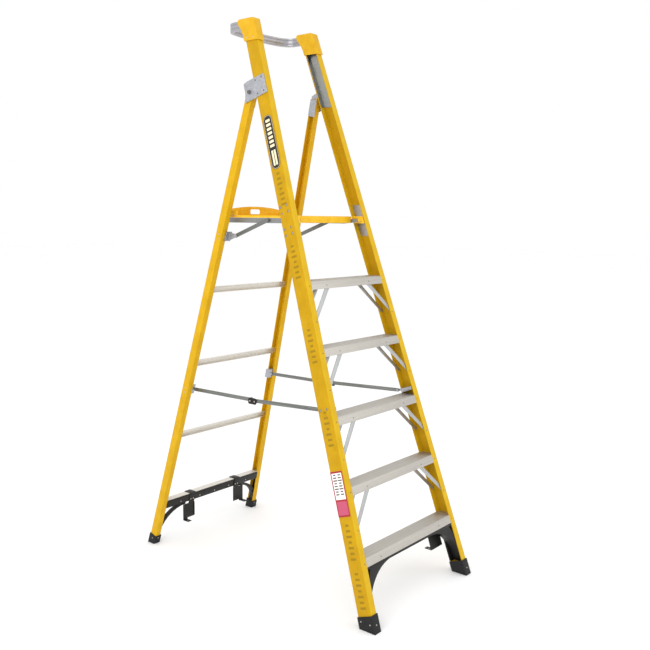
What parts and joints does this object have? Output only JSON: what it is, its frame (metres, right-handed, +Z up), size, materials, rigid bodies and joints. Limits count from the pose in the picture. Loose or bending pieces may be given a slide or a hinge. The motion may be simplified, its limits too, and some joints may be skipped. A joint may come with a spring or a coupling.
{
  "type": "platform step ladder",
  "caption": "Free-standing folding step ladder with channel stiles, treads on the front, a standing platform, a U-shaped guard rail, folding spreaders and a braced rear frame.",
  "frame": {"origin": "centre of the bounding box on the floor", "axes": "+Z up, +X across the ladder, the climbing side faces -Y"},
  "size_m": [0.8048, 1.514, 2.648],
  "materials": {
    "fibreglass": "pultruded glass-fibre channel, satin yellow",
    "yellow_plastic": "moulded yellow plastic, fine grain",
    "aluminium": "mill-finish aluminium extrusion",
    "link_aluminium": "darker grooved aluminium bar",
    "zinc_steel": "zinc-plated pressed steel",
    "black_steel": "black powder-coated steel",
    "black_plastic": "black moulded plastic, matt"
  },
  "bodies": {
    "front_frame": {"front_stile_left": "fibreglass", "front_stile_right": "fibreglass", "stile_liner_left": "aluminium", "stile_liner_right": "aluminium", "top_cap_left": "yellow_plastic", "top_cap_right": "yellow_plastic", "guard_rail": "aluminium", "tread_1": "aluminium", "tread_2": "aluminium", "tread_3": "aluminium", "tread_4": "aluminium", "tread_5": "aluminium", "tread_brace_2_left": "aluminium", "tread_brace_2_right": "aluminium", "tread_brace_3_left": "aluminium", "tread_brace_3_right": "aluminium", "tread_brace_4_left": "aluminium", "tread_brace_4_right": "aluminium", "tread_brace_5_left": "aluminium", "tread_brace_5_right": "aluminium", "front_foot_brace": "black_steel", "front_hanger": "black_steel", "front_boot_left": "black_plastic", "front_boot_right": "black_plastic", "hinge_plate_left": "zinc_steel", "hinge_plate_right": "zinc_steel", "hinge_bolt_left": "zinc_steel", "hinge_bolt_right": "zinc_steel", "platform_mount_left": "aluminium", "platform_mount_right": "aluminium", "spreader_front_bracket_left": "zinc_steel", "spreader_front_bracket_right": "zinc_steel"},
    "rear_frame": {"rear_leg_left": "fibreglass", "rear_leg_right": "fibreglass", "rear_rung_1": "aluminium", "rear_rung_2": "aluminium", "rear_rung_3": "aluminium", "rear_bottom_rail": "aluminium", "rear_foot_brace": "black_steel", "rear_hanger_left": "black_steel", "rear_hanger_right": "black_steel", "rear_boot_left": "black_plastic", "rear_boot_right": "black_plastic", "strut_bracket_left": "zinc_steel", "strut_bracket_right": "zinc_steel", "spreader_rear_bracket_left": "zinc_steel", "spreader_rear_bracket_right": "zinc_steel"},
    "platform": {"platform_deck": "yellow_plastic", "platform_side_rail_left": "aluminium", "platform_side_rail_right": "aluminium", "toe_board": "yellow_plastic"},
    "strut_left": {"platform_strut_left": "link_aluminium"},
    "strut_right": {"platform_strut_right": "link_aluminium"},
    "spreader_front_left": {"spreader_front_bar_left": "link_aluminium", "spreader_joint_left": "black_plastic"},
    "spreader_front_right": {"spreader_front_bar_right": "link_aluminium", "spreader_joint_right": "black_plastic"},
    "spreader_rear_left": {"spreader_rear_bar_left": "link_aluminium"},
    "spreader_rear_right": {"spreader_rear_bar_right": "link_aluminium"}
  },
  "joints": [
    {"name": "fold", "type": "hinge", "parent": "front_frame", "child": "rear_frame", "pos_m": [0, 0.12992, 2.307], "axis": [-1, 0, 0], "range_deg": [0, 33.03]},
    {"name": "platform_tilt", "type": "hinge", "parent": "front_frame", "child": "platform", "pos_m": [0, -0.16793, 1.722], "axis": [1, 0, 0], "range_deg": [0, 71.6]},
    {"name": "strut_swing_left", "type": "hinge", "parent": "rear_frame", "child": "strut_left", "pos_m": [-0.2325, 0.23702, 1.64], "axis": [-1, 0, 0], "range_deg": [0, 47.85]},
    {"name": "strut_swing_right", "type": "hinge", "parent": "rear_frame", "child": "strut_right", "pos_m": [0.2325, 0.23702, 1.64], "axis": [-1, 0, 0], "range_deg": [0, 47.85]},
    {"name": "spreader_front_left", "type": "hinge", "parent": "front_frame", "child": "spreader_front_left", "pos_m": [-0.29215, -0.37185, 0.884], "axis": [0.9978, 0, -0.0663], "range_deg": [0, 74.6]},
    {"name": "spreader_front_right", "type": "hinge", "parent": "front_frame", "child": "spreader_front_right", "pos_m": [0.29215, -0.37185, 0.884], "axis": [0.9978, 0, 0.0663], "range_deg": [0, 74.6]},
    {"name": "spreader_rear_left", "type": "hinge", "parent": "rear_frame", "child": "spreader_rear_left", "pos_m": [-0.28465, 0.48083, 0.856], "axis": [-0.9982, 0, 0.0606], "range_deg": [0, 74.7]},
    {"name": "spreader_rear_right", "type": "hinge", "parent": "rear_frame", "child": "spreader_rear_right", "pos_m": [0.28465, 0.48083, 0.856], "axis": [-0.9982, 0, -0.0606], "range_deg": [0, 74.7]}
  ],
  "couplings": [
    {"joint": "platform_tilt", "follows": "fold", "ratio": 2.1674},
    {"joint": "strut_swing_left", "follows": "fold", "ratio": 1.4471},
    {"joint": "strut_swing_right", "follows": "fold", "ratio": 1.4471},
    {"joint": "spreader_front_left", "follows": "fold", "ratio": 2.2562},
    {"joint": "spreader_front_right", "follows": "fold", "ratio": 2.2562},
    {"joint": "spreader_rear_left", "follows": "fold", "ratio": 2.2585},
    {"joint": "spreader_rear_right", "follows": "fold", "ratio": 2.2585}
  ]
}
